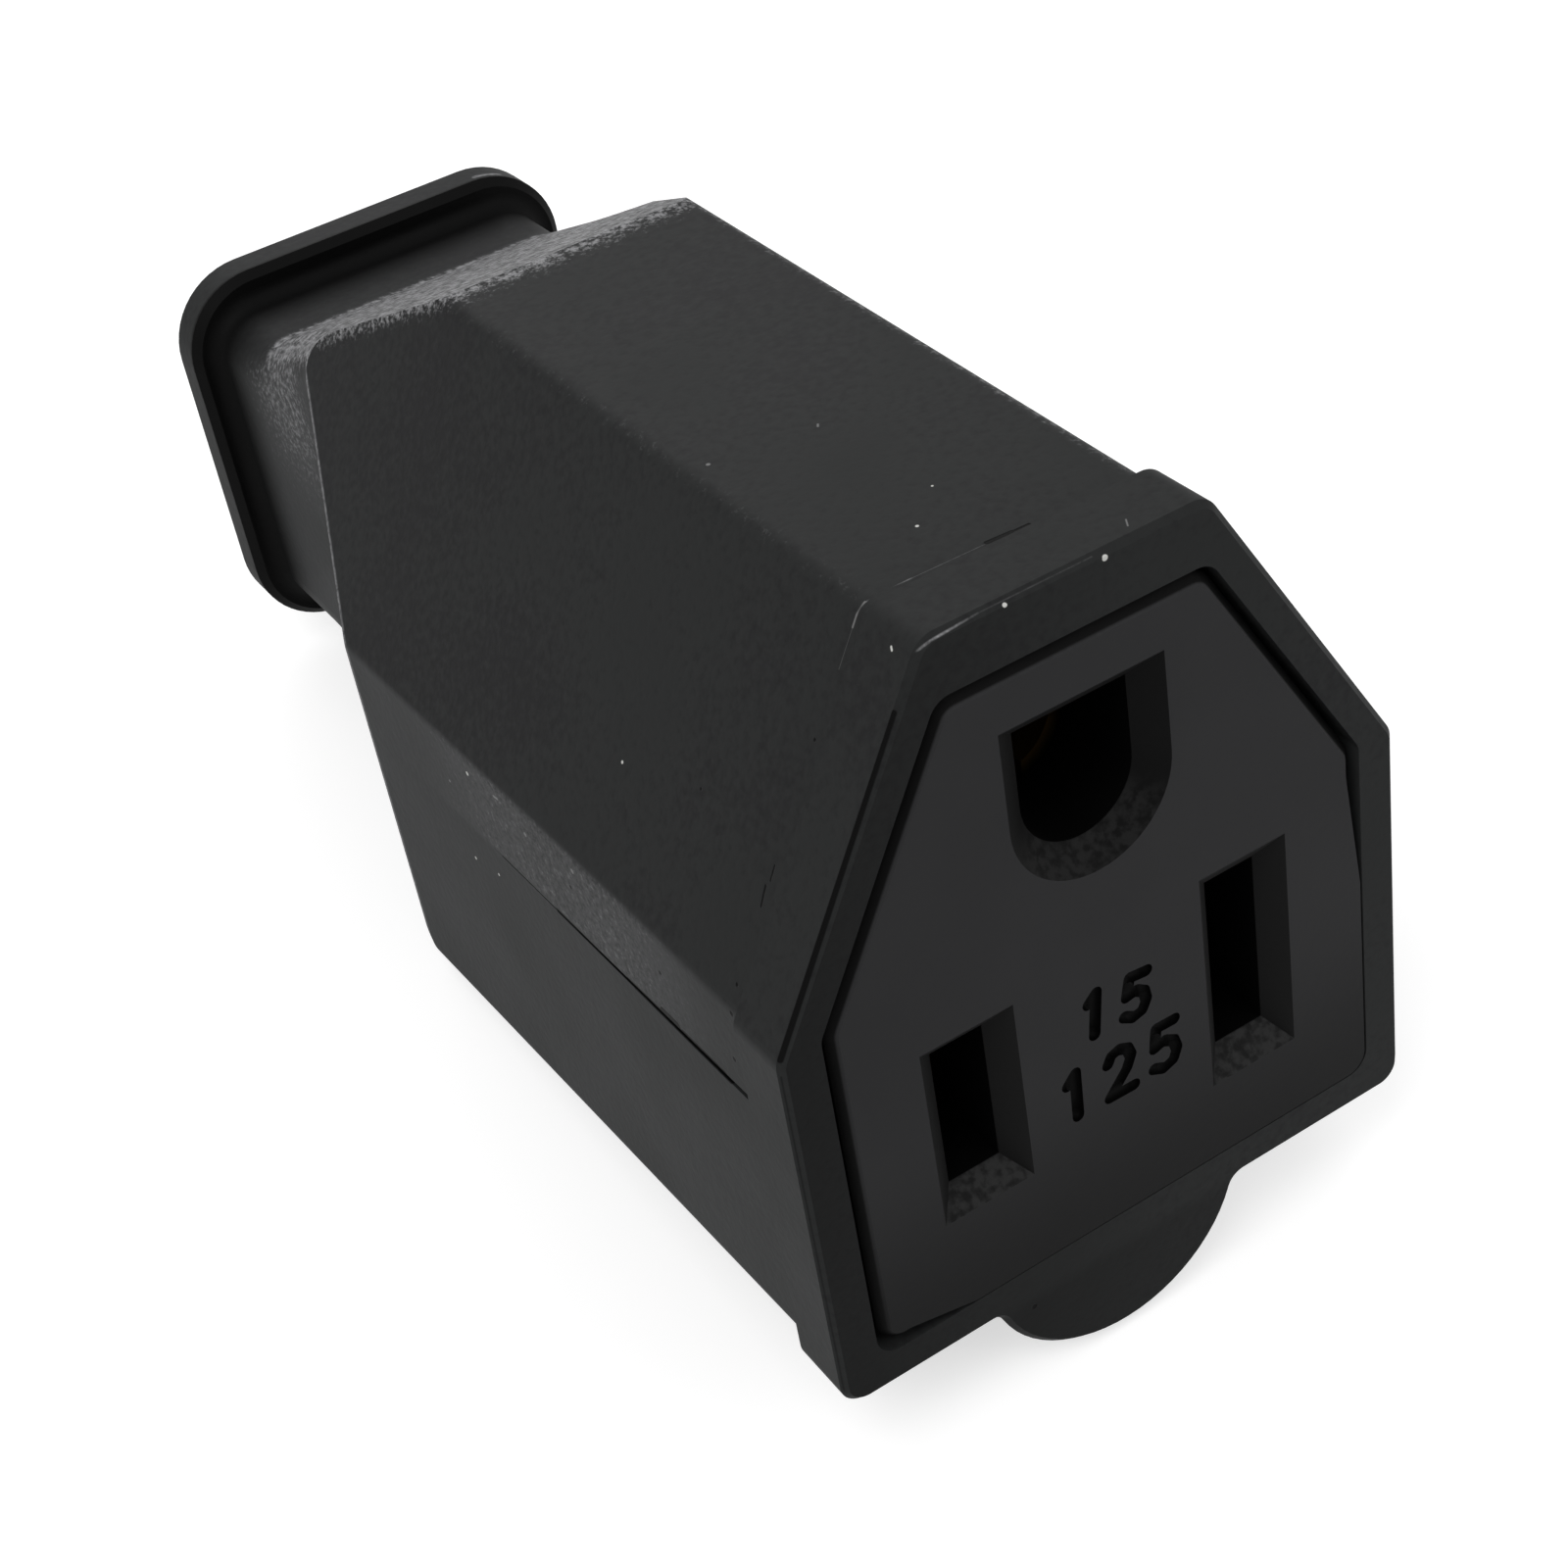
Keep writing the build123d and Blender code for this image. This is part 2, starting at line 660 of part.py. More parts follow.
nodes = {
    "upper_shell": make_upper_shell(shell),
    "lower_shell": make_lower_shell(shell),
    "face_insert": make_face_insert(),
    "contact_carrier": make_contact_carrier(),
    "core_screw": make_core_screw(),
    "ground_contact": make_ground_contact(),
    "ground_pressure_plate": ground_terminal(pressure_plate, 0),
    "ground_terminal_screw": ground_terminal(terminal_screw, plate_thickness),
    "cord_clamp_bar": make_clamp_bar(),
    "cord_clamp_saddle": make_clamp_saddle(),
}
for pole, side, leaf_height in (("hot", -1, hot_leaf_height), ("neutral", 1, neutral_leaf_height)):
    nodes[f"{pole}_contact"] = make_blade_contact(side, leaf_height)
    nodes[f"{pole}_pressure_plate"] = blade_terminal(side, pressure_plate, 0)
    nodes[f"{pole}_terminal_screw"] = blade_terminal(side, terminal_screw, plate_thickness)
for name, side in (("left", -1), ("right", 1)):
    nodes[f"closing_screw_{name}"] = make_closing_screw(side)
    nodes[f"cord_clamp_screw_{name}"] = make_clamp_screw(side)
    nodes[f"cord_clamp_nut_{name}"] = make_clamp_nut(side)

os.makedirs("parts", exist_ok=True)
for node, piece in nodes.items():
    export_step(piece, f"parts/{node}.step")
    print(node, round(piece.volume, 1), piece.bounding_box())
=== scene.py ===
import json
from math import cos, radians, sin, tan

import bmesh
import bpy
from mathutils import Matrix, Vector


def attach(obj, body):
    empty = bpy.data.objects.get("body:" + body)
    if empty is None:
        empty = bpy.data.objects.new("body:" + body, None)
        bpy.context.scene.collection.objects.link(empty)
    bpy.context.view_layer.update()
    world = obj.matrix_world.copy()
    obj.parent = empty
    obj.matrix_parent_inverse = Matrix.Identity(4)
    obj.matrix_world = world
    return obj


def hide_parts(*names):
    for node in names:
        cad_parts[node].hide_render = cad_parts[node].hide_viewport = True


# Three-hole cord connector in worn black plastic. The scene is in metres, in the frame of the model: the
# mating face looks along -Y, the cord leaves along +Y, and Z is up. Named lengths are millimetres.
MM = 0.001

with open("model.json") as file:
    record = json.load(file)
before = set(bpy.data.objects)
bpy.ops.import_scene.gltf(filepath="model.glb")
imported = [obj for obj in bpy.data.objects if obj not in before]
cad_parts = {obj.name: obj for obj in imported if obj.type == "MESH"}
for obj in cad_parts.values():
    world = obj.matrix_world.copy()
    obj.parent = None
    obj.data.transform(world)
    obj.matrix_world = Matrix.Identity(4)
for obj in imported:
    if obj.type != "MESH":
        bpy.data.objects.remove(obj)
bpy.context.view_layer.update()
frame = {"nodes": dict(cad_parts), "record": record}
nodes = frame["nodes"]

# Sizes of the housing that the wear and the painted light and shade follow
draft = tan(radians(0.8))
collar_depth = 3.05
body_half_width = 13.42
body_top = 20.78
body_bottom = -10.08
slant_corner = Vector((5.725, collar_depth, body_top))
slant_turn = radians(60.48)
seam_z = 3.0
neck_half_width = 8.9
neck_top = 12.45
neck_start = 54.0
side_neck_start = 45.4
shoulder_end = 58.0
shoulder_normal = (0.0, 0.447, 1.0)
side_shoulder_normal = (2.032, 1.0, 0.0)
flange_front = 58.5
window_bottom = -8.8
window_half_width = 12.09
window_radius = 1.0
insert_bevel = 0.4
insert_gap = 0.28

# Camera at the place from which the connector was photographed
eye = Vector((-42.822, -62.975, 70.675))
aim = Vector((-5.479, 12.575, 8.044))
roll = -10.42
focal_length = 63.145
sensor_width = 36.0

# The connector rests on its finger lug and on the ridge under its rear end, so the table slopes past both.
lug_foot = Vector((0.0, 3.05, -14.85))
rear_foot = Vector((0.0, 35.6, -10.53))
table_size = 3000.0


def linear(code):
    """Linear colour with alpha from an sRGB hex value."""
    channels = [int(code[i:i + 2], 16) / 255 for i in (1, 3, 5)]
    return tuple(c / 12.92 if c <= 0.04045 else ((c + 0.055) / 1.055) ** 2.4 for c in channels) + (1.0,)


def add(tree, kind, inputs=None, out=0, **settings):
    """Adds a node, sets it, fills or links its inputs, and gives back one of its outputs."""
    node = tree.nodes.new(kind)
    for key, value in settings.items():
        setattr(node, key, value)
    for key, value in (inputs or {}).items():
        if isinstance(value, bpy.types.NodeSocket):
            tree.links.new(value, node.inputs[key])
        else:
            node.inputs[key].default_value = value
    return node.outputs[out] if node.outputs else node


def new_material(name):
    """An empty node material and its tree."""
    material = bpy.data.materials.new(name)
    material.use_nodes = True
    material.node_tree.nodes.clear()
    return material, material.node_tree


def object_place(tree):
    """Position on the connector in millimetres, and the outward direction of the surface there."""
    coordinates = add(tree, "ShaderNodeTexCoord", out="Object")
    place = add(tree, "ShaderNodeVectorMath", {0: coordinates, "Scale": 1 / MM}, operation="SCALE")
    outward = coordinates.node.outputs["Normal"]
    return place, outward


def fade(tree, value, full, none):
    """1 where the value is at full, 0 where it is at none, and smooth between them."""
    low, high, at_low, at_high = (full, none, 1.0, 0.0) if full < none else (none, full, 0.0, 1.0)
    limits = {"Value": value, "From Min": low, "From Max": high, "To Min": at_low, "To Max": at_high}
    return add(tree, "ShaderNodeMapRange", limits, interpolation_type="SMOOTHSTEP")


def slope(tree, value, start, end, at_start, at_end):
    """A straight rise or fall from one value at the start to another at the end."""
    limits = {"Value": value, "From Min": start, "From Max": end, "To Min": at_start, "To Max": at_end}
    return add(tree, "ShaderNodeMapRange", limits)


def shifted(tree, value, factor, shift):
    """The value times a factor, plus a shift, either of which may be a number or an output."""
    return add(tree, "ShaderNodeMath", {0: value, 1: factor, 2: shift}, operation="MULTIPLY_ADD")


def fold(tree, operation, *values):
    """Joins two or more values by one operation, such as MAXIMUM or MULTIPLY."""
    total = values[0]
    for value in values[1:]:
        total = add(tree, "ShaderNodeMath", {0: total, 1: value}, operation=operation)
    return total


def blend_colour(tree, share, under, over):
    """The colour under, covered by the colour over as far as the share says."""
    return add(tree, "ShaderNodeMix", {0: share, 6: under, 7: over}, out=2, data_type="RGBA")


def off_line(tree, place, start, end):
    """Distance in millimetres from the surface to the straight line between two points, or to a spot."""
    run = Vector(end) - Vector(start)
    spot = 0.02
    if run.length < spot:
        return add(tree, "ShaderNodeVectorMath", {0: place, 1: start}, out="Value", operation="DISTANCE")
    reach = add(tree, "ShaderNodeVectorMath", {0: place, 1: start}, operation="SUBTRACT")
    step = run / run.length_squared
    along = add(tree, "ShaderNodeVectorMath", {0: reach, 1: step}, out="Value", operation="DOT_PRODUCT")
    share = add(tree, "ShaderNodeClamp", {"Value": along})
    foot = add(tree, "ShaderNodeVectorMath", {0: run, "Scale": share}, operation="SCALE")
    return add(tree, "ShaderNodeVectorMath", {0: reach, 1: foot}, out="Value", operation="DISTANCE")


def marks_cover(tree, place, marks, edge):
    """Cover of a list of marks, each with a start, an end and a radius in millimetres."""
    nearest = None
    for start, end, radius in marks:
        distance = off_line(tree, place, start, end)
        gap = add(tree, "ShaderNodeMath", {0: distance, 1: radius}, operation="SUBTRACT")
        nearest = gap if nearest is None else fold(tree, "MINIMUM", nearest, gap)
    return fade(tree, nearest, 0.0, edge)


def depth_under(tree, place, point, normal):
    """How deep the surface lies under the plane through a point, in millimetres."""
    direction = Vector(normal).normalized()
    along = add(tree, "ShaderNodeVectorMath", {0: place, 1: direction}, out="Value", operation="DOT_PRODUCT")
    return add(tree, "ShaderNodeMath", {0: direction.dot(Vector(point)), 1: along}, operation="SUBTRACT")


# White dust and chips that show the pale core of the plastic: start, end and radius of each
dust = [
    ((1.43, 0.0, 20.90), (1.43, 0.0, 20.90), 0.10),
    ((-2.65, 0.02, 20.98), (-2.65, 0.02, 20.98), 0.07),
    ((-1.81, 6.28, 20.83), (-1.81, 6.28, 20.83), 0.05),
    ((0.05, 8.02, 20.86), (0.05, 8.02, 20.86), 0.03),
    ((-13.71, 24.23, 6.40), (-13.71, 24.23, 6.40), 0.08),
    ((-13.73, 25.95, 0.96), (-13.73, 25.95, 0.96), 0.06),
    ((-13.71, 23.69, 1.41), (-13.71, 23.69, 1.41), 0.05),
    ((-11.23, 13.93, 11.38), (-11.23, 13.93, 11.38), 0.05),
    ((-6.40, 1.20, 20.45), (-6.36, 1.28, 20.52), 0.03),
]

# Fine light scratches, and smudges
scratches = [
    ((-5.62, 3.88, 20.66), (-6.00, 3.90, 20.30), 0.020),
    ((-6.00, 3.90, 20.30), (-6.22, 3.90, 19.94), 0.015),
    ((-6.22, 3.90, 19.94), (-6.98, 3.91, 18.59), -0.025),
    ((-0.51, 14.52, 20.95), (-0.60, 14.38, 20.95), 0.015),
    ((-4.92, 15.08, 20.95), (-4.92, 15.08, 20.95), 0.060),
    ((3.10, 0.98, 21.20), (2.90, 0.62, 21.20), 0.000),
    ((-10.59, 32.35, 12.90), (-10.66, 32.05, 12.75), 0.010),
    ((-13.60, 15.50, 6.50), (-13.60, 15.50, 6.50), 0.090),
    ((-13.65, 19.47, 6.00), (-13.65, 19.47, 6.00), 0.080),
    ((-13.66, 21.56, 6.60), (-13.66, 21.90, 6.55), 0.040),
    ((-13.75, 26.58, 4.72), (-13.75, 26.58, 4.72), 0.040),
]

# Dark nicks, a cut across the step of the collar, and the part of the seam that stands open
nicks = [
    ((-0.70, 3.72, 20.82), (0.30, 3.66, 20.84), 0.090),
    ((0.00, 3.66, 20.84), (0.99, 3.63, 20.84), 0.060),
    ((-7.31, 7.70, 17.95), (-7.60, 7.56, 17.40), 0.022),
    ((-10.62, 3.96, 12.10), (-10.90, 3.93, 11.60), 0.025),
    ((-11.05, 4.09, 11.35), (-11.40, 3.99, 10.70), 0.040),
    ((-12.91, 3.94, 8.01), (-12.91, 3.94, 8.01), 0.070),
    ((-13.43, 4.40, 4.44), (-13.43, 4.40, 4.44), 0.085),
    ((-10.48, 9.03, 12.50), (-10.48, 9.03, 12.50), 0.040),
    ((-13.58, 16.03, 5.39), (-13.58, 16.03, 5.39), 0.070),
    ((-10.30, 37.79, 13.60), (-10.42, 37.66, 13.38), 0.020),
    ((-5.08, 0.0, -10.90), (-5.08, 0.0, -10.90), 0.090),
    ((-8.26, 3.97, 16.28), (-8.26, 3.97, 16.28), 0.050),
    ((-13.49, 9.30, 5.38), (-13.49, 9.30, 5.38), 0.070),
    ((-13.42, 3.86, 7.00), (-13.42, 3.86, 7.00), 0.080),
    ((-13.35, 5.20, 2.82), (-13.445, 12.0, 2.92), 0.150),
    ((-13.445, 12.0, 2.92), (-13.55, 18.0, 2.99), 0.120),
    ((-13.55, 18.0, 2.99), (-13.69, 22.6, 3.03), 0.030),
    ((-13.46, 5.45, 3.00), (-13.49, 8.40, 3.02), 0.100),
    ((-13.50, 8.80, 3.06), (-13.51, 9.80, 3.08), 0.210),
    ((-13.52, 9.80, 3.02), (-13.54, 12.5, 3.00), 0.060),
]

# Painted highlights along edges: start, end and half the width of each highlight
highlight_edges = [
    ((-6.25, 0.15, 20.75), (-5.60, 0.05, 21.00), 0.015),
    ((-5.60, 0.05, 21.00), (-3.60, 0.10, 21.12), 0.010),
    ((-3.60, 0.10, 21.12), (1.00, 0.10, 21.12), 0.005),
    ((-5.59, 3.84, 20.69), (-3.78, 3.78, 20.79), -0.01),
    ((-3.78, 3.78, 20.79), (-0.60, 3.70, 20.79), -0.03),
    ((-6.60, 0.10, 20.10), (-7.30, 0.10, 18.90), 0.04),
    ((-10.30, 58.90, 1.20), (-10.10, 58.90, -3.40), 0.06),
    ((6.60, 59.30, 14.15), (8.10, 59.30, 13.85), 0.10),
]

# Painted shade in the front bevel of the collar along its left side
shaded_bevel_lines = [
    ((-7.30, 0.12, 18.92), (-13.70, 0.12, 7.55), 0.13),
    ((-13.78, 0.12, 6.80), (-13.78, 0.12, -9.60), 0.03),
]


def housing_plastic():
    """Black ABS, moulded with a fine spark-eroded grain: matt, with its sides painted greyer as painted
    light, pale where worn, and with painted sheen, highlights and shade.
    """
    cloud_size = 7.0
    grain_size = 0.38
    speck_size = 0.26
    strip_speck = Vector((0.30, 1.10, 0.30))
    black = linear("#1d1d1e")
    black_cloud = linear("#262727")
    side_painted_light = linear("#292a2b")
    side_painted_light_cloud = linear("#2d2e2e")
    shade = linear("#060606")
    painted_root_shade = linear("#040404")
    dirt_and_shade = linear("#020202")
    wear_and_highlight = linear("#a2a2a4")
    scratched = linear("#9a9a9a")
    dusted = linear("#d0d0cc")

    # Soft edges of the marks
    bevel_shade_edge = 0.05
    highlight_soft_edge = 0.06
    scratch_edge = 0.05
    dust_edge = 0.035
    nick_edge = 0.05

    # Where each tone is full, and where it has gone: places in millimetres, facings and noise as parts of one
    toward_rear = (8.0, 38.0)
    mottle_range = (0.66, 0.38)
    facing_side = (0.99, 0.93)
    before_shoulder = (neck_start, shoulder_end)
    facing_front = (-0.95, -0.70)
    in_collar = (2.0, 3.0)
    lug_height = (-11.0, -10.0)
    facing_rear = (0.30, 0.10)
    before_neck = (54.0, 56.0)
    rear_half = (30.0, 20.0)
    neck_after = (49.0, 46.0)
    neck_before = (52.0, 57.0)
    neck_height = (11.0, 3.0)
    not_up = (0.55, 0.80)
    facing_up = (0.85, 0.60)
    near_shoulder = (0.0, 0.9)
    spill_depth = (52.0, 55.0)
    not_rear = (0.20, 0.30)
    above_seam = (seam_z + 0.3, seam_z - 0.3)
    on_side = (0.99, 0.90)
    strip_before = (20.0, 32.0)
    strip_after = (13.0, 4.0)
    below_crease = (0.3, 0.5)
    top_crease_width = (0.05, 0.6)
    crease_before = (34.0, 44.0)
    low_edge_width = (0.25, 0.5)
    rear_ridge_highlight_width = (0.04, 0.14)
    ahead_of_edge = (0.25, 0.35)
    rear_ridge_highlight_before = (44.0, 47.0)
    behind_collar = (collar_depth + 0.2, collar_depth)
    rim_before = (flange_front + 0.48, flange_front + 0.62)
    root_shade_after = (58.3, 54.0)
    rear_fleck_range = (0.92, 0.56)
    body_fleck_range = (0.86, 0.58)
    pit_range = (0.40, 0.47)

    material, tree = new_material("moulded_abs_housing")
    place, outward = object_place(tree)
    bevel_shade_cover = marks_cover(tree, place, shaded_bevel_lines, bevel_shade_edge)
    highlight_cover = marks_cover(tree, place, highlight_edges, highlight_soft_edge)
    scratch_cover = marks_cover(tree, place, scratches, scratch_edge)
    dust_cover = marks_cover(tree, place, dust, dust_edge)
    nick_cover = marks_cover(tree, place, nicks, nick_edge)
    across, depth, height = (add(tree, "ShaderNodeSeparateXYZ", {0: place}, out=i) for i in range(3))
    facing_x, facing_y, facing_z = (add(tree, "ShaderNodeSeparateXYZ", {0: outward}, out=i) for i in range(3))
    half_across = add(tree, "ShaderNodeMath", {0: across}, operation="ABSOLUTE")
    side_facing = add(tree, "ShaderNodeMath", {0: facing_x}, operation="ABSOLUTE")
    folded = add(tree, "ShaderNodeCombineXYZ", {0: half_across, 1: depth, 2: height})

    # How deep each point lies under the planes of the housing
    slant_normal = (sin(slant_turn), -draft, cos(slant_turn))
    under_top = depth_under(tree, folded, (0.0, collar_depth, body_top), (0.0, -draft, 1.0))
    under_slant = depth_under(tree, folded, slant_corner, slant_normal)
    under_side = depth_under(tree, folded, (body_half_width, collar_depth, 0.0), (1.0, -draft, 0.0))
    under_bottom = depth_under(tree, folded, (0.0, collar_depth, body_bottom), (0.0, -draft, -1.0))
    under_shoulder = depth_under(tree, folded, (0.0, neck_start, neck_top), shoulder_normal)
    side_shoulder_foot = (neck_half_width, side_neck_start, 0.0)
    under_side_shoulder = depth_under(tree, folded, side_shoulder_foot, side_shoulder_normal)

    clouds = add(tree, "ShaderNodeTexNoise", {"Vector": place, "Scale": 1 / cloud_size, "Detail": 2.0})
    grain = add(tree, "ShaderNodeTexNoise", {"Vector": place, "Scale": 1 / grain_size, "Detail": 2.0})
    speck = add(tree, "ShaderNodeTexNoise", {
        "Vector": place, "Scale": 1 / speck_size, "Detail": 3.0, "Roughness": 0.7})
    strip_place = add(tree, "ShaderNodeVectorMath", {0: place, 1: strip_speck}, operation="DIVIDE")
    strip_noise = add(tree, "ShaderNodeTexNoise", {
        "Vector": strip_place, "Scale": 1.0, "Detail": 3.0, "Roughness": 0.65})

    # Plain tone: clouds and mottling, sides painted greyer as painted light, and painted shade on the collar
    # face, darkest on its left, and on the lug
    half = 0.5
    front_lift = 0.11
    left_share = 0.64
    lug_share = 0.38
    cloud_share = fold(tree, "MULTIPLY", clouds, half)
    mottle = shifted(tree, grain, half, cloud_share)
    mottle = shifted(tree, fade(tree, depth, *toward_rear), front_lift, mottle)
    mottle = fade(tree, mottle, *mottle_range)
    tone = blend_colour(tree, mottle, black, black_cloud)
    # Painted light: the side faces take a greyer tone
    side_lit_tone = blend_colour(tree, mottle, side_painted_light, side_painted_light_cloud)
    side_share = fold(
        tree, "MULTIPLY", fade(tree, side_facing, *facing_side), fade(tree, depth, *before_shoulder))
    tone = blend_colour(tree, side_share, tone, side_lit_tone)
    # Painted shade on the collar face, darkest on its left, and on the lug
    face_share = fold(tree, "MULTIPLY", fade(tree, facing_y, *facing_front), fade(tree, depth, *in_collar))
    left_dark = slope(tree, across, -13.0, 3.0, left_share, 0.0)
    tone = blend_colour(tree, fold(tree, "MULTIPLY", face_share, left_dark), tone, shade)
    tone = blend_colour(tree, fold(tree, "MULTIPLY", fade(tree, height, *lug_height), lug_share), tone, shade)

    # The rear shoulders and the start of the neck are rubbed almost white in specks, most of all near the
    # top, and the same specks carry a painted sheen on these rearward faces
    wear_and_sheen_low = 0.10
    wear_and_sheen_high = 0.87
    neck_wear_and_sheen = 0.64
    wear_and_sheen_lift = 0.25
    fleck_gain = 0.90
    fleck_floor = 0.05
    turned = fold(
        tree, "MULTIPLY", fade(tree, facing_y, *facing_rear), fade(tree, depth, *before_neck),
        fade(tree, depth, *rear_half))
    fallen = slope(tree, height, 0.0, 12.5, wear_and_sheen_low, wear_and_sheen_high)
    start_of_neck = fold(
        tree, "MULTIPLY", fade(tree, depth, *neck_after), fade(tree, depth, *neck_before),
        fade(tree, height, *neck_height), fade(tree, facing_z, *not_up))
    rear_wear_and_sheen = fold(
        tree, "MAXIMUM", fold(tree, "MULTIPLY", turned, fallen),
        fold(tree, "MULTIPLY", start_of_neck, neck_wear_and_sheen))
    rear_noise = add(tree, "ShaderNodeMix", {0: fade(tree, facing_z, *facing_up), 2: speck, 3: strip_noise})
    rear_speckled = shifted(tree, rear_wear_and_sheen, wear_and_sheen_lift, rear_noise)
    rear_fleck = shifted(tree, fade(tree, rear_speckled, *rear_fleck_range), fleck_gain, fleck_floor)
    rear_cover = fold(tree, "MULTIPLY", rear_fleck, rear_wear_and_sheen)

    # Specks spill over the ridges, and lie on the creases and on the strip above the seam
    spill_share = 0.8
    strip_share = 0.28
    strip_tone = 0.08
    crease_share = 0.55
    crease_left = 0.30
    spill = fold(
        tree, "MULTIPLY", fade(tree, under_shoulder, *near_shoulder), fade(tree, depth, *spill_depth),
        fade(tree, facing_y, *not_rear))
    strip = fold(
        tree, "MULTIPLY", fade(tree, height, *above_seam), fade(tree, side_facing, *on_side),
        fade(tree, depth, *strip_before), fade(tree, depth, *strip_after),
        fade(tree, under_side, *below_crease))
    top_crease = fade(tree, fold(tree, "MAXIMUM", under_top, under_slant), *top_crease_width)
    right_side = slope(tree, across, -3.0, 3.0, crease_left, 1.0)
    top_crease = fold(tree, "MULTIPLY", top_crease, right_side, fade(tree, depth, *crease_before))
    low_edge = fade(tree, fold(tree, "MAXIMUM", under_side, under_bottom), *low_edge_width)
    # Painted highlight along the rear ridge of each side
    rear_ridge_highlight = fold(
        tree, "MULTIPLY", fade(tree, under_side_shoulder, *rear_ridge_highlight_width),
        fade(tree, facing_y, *ahead_of_edge), fade(tree, depth, *rear_ridge_highlight_before))
    creases = fold(tree, "MAXIMUM", top_crease, low_edge)
    creases = fold(tree, "MULTIPLY", creases, fade(tree, depth, *behind_collar), crease_share)
    body_wear = fold(
        tree, "MAXIMUM", fold(tree, "MULTIPLY", spill, spill_share),
        fold(tree, "MULTIPLY", strip, strip_share), creases)
    speckled = shifted(tree, body_wear, wear_and_sheen_lift, speck)
    body_cover = fold(tree, "MULTIPLY", fade(tree, speckled, *body_fleck_range), body_wear)
    # Painted highlights along the listed edges and the rear ridge, broken into specks
    edge_noise = shifted(tree, speck, 1.5, -0.32)
    edge_highlight_cover = fold(tree, "MULTIPLY", fold(tree, "MAXIMUM", highlight_cover, rear_ridge_highlight), edge_noise)
    # The pale tone covers wear, painted sheen and painted highlights
    wear_and_highlight_cover = fold(tree, "MAXIMUM", rear_cover, body_cover, edge_highlight_cover)
    tone = blend_colour(tree, fold(tree, "MULTIPLY", strip, strip_tone), tone, wear_and_highlight)
    tone = blend_colour(tree, wear_and_highlight_cover, tone, wear_and_highlight)
    pits = fold(tree, "MULTIPLY", fade(tree, speck, *pit_range), strip, crease_share)
    tone = blend_colour(tree, pits, tone, black)

    # Painted shade: the bevel, the root of the neck and the front of the flange are painted near black where
    # shade falls
    tone = blend_colour(tree, bevel_shade_cover, tone, dirt_and_shade)
    before_rim = fade(tree, depth, *rim_before)
    root = fold(tree, "MULTIPLY", fade(tree, depth, *root_shade_after), before_rim)
    tone = blend_colour(tree, root, tone, painted_root_shade)

    # Scratches, dust and nicks
    tone = blend_colour(tree, fold(tree, "MULTIPLY", scratch_cover, half), tone, scratched)
    tone = blend_colour(tree, dust_cover, tone, dusted)
    tone = blend_colour(tree, nick_cover, tone, dirt_and_shade)

    # Nicks sink five times as deep as the grain stands out
    relief = shifted(tree, nick_cover, -5.0, grain)
    surface = add(tree, "ShaderNodeBump", {"Height": relief, "Distance": 0.03 * MM, "Strength": 0.5})
    roughness = slope(tree, clouds, 0.3, 0.7, 0.55, 0.62)
    shader = add(tree, "ShaderNodeBsdfPrincipled", {
        "Base Color": tone, "Roughness": roughness, "IOR": 1.45, "Specular IOR Level": 0.08,
        "Normal": surface})
    add(tree, "ShaderNodeOutputMaterial", {"Surface": shader})
    return material


def insert_plastic(name, dark, light, dust_and_light, shade_start, shade_full):
    """Black nylon, moulded smoother than the housing: matt, with painted shade low down, dusty and painted
    lighter where it looks up, and painted black as shade from one depth to another."""
    cloud_size = 9.0
    grain_size = 0.35
    cloud_range = (0.65, 0.35)
    low_height = (-9.5, 1.5)
    low_share = 0.80
    facing_up = (0.45, 0.15)
    dust_range = (0.62, 0.35)
    material, tree = new_material(name)
    place, outward = object_place(tree)
    depth = add(tree, "ShaderNodeSeparateXYZ", {0: place}, out=1)
    height = add(tree, "ShaderNodeSeparateXYZ", {0: place}, out=2)
    facing_z = add(tree, "ShaderNodeSeparateXYZ", {0: outward}, out=2)
    clouds = add(tree, "ShaderNodeTexNoise", {"Vector": place, "Scale": 1 / cloud_size, "Detail": 4.0})
    grain = add(tree, "ShaderNodeTexNoise", {"Vector": place, "Scale": 1 / grain_size, "Detail": 4.0})
    tone = blend_colour(tree, fade(tree, clouds, *cloud_range), linear(dark), linear(light))
    # Painted shade: darker low down
    low = fold(tree, "MULTIPLY", fade(tree, height, *low_height), low_share)
    tone = blend_colour(tree, low, tone, linear("#101010"))
    # Dust, and painted light, where the surface looks up
    dust_and_light_share = fold(tree, "MULTIPLY", fade(tree, facing_z, *facing_up), fade(tree, grain, *dust_range))
    tone = blend_colour(tree, dust_and_light_share, tone, linear(dust_and_light))
    # Painted shade: black from one depth to another
    tone = blend_colour(tree, fade(tree, depth, shade_full, shade_start), tone, linear("#020202"))
    surface = add(tree, "ShaderNodeBump", {"Height": grain, "Distance": 0.02 * MM, "Strength": 0.4})
    roughness = slope(tree, clouds, 0.3, 0.7, 0.55, 0.60)
    shader = add(tree, "ShaderNodeBsdfPrincipled", {
        "Base Color": tone, "Roughness": roughness, "IOR": 1.45, "Specular IOR Level": 0.08,
        "Normal": surface})
    add(tree, "ShaderNodeOutputMaterial", {"Surface": shader})
    return material


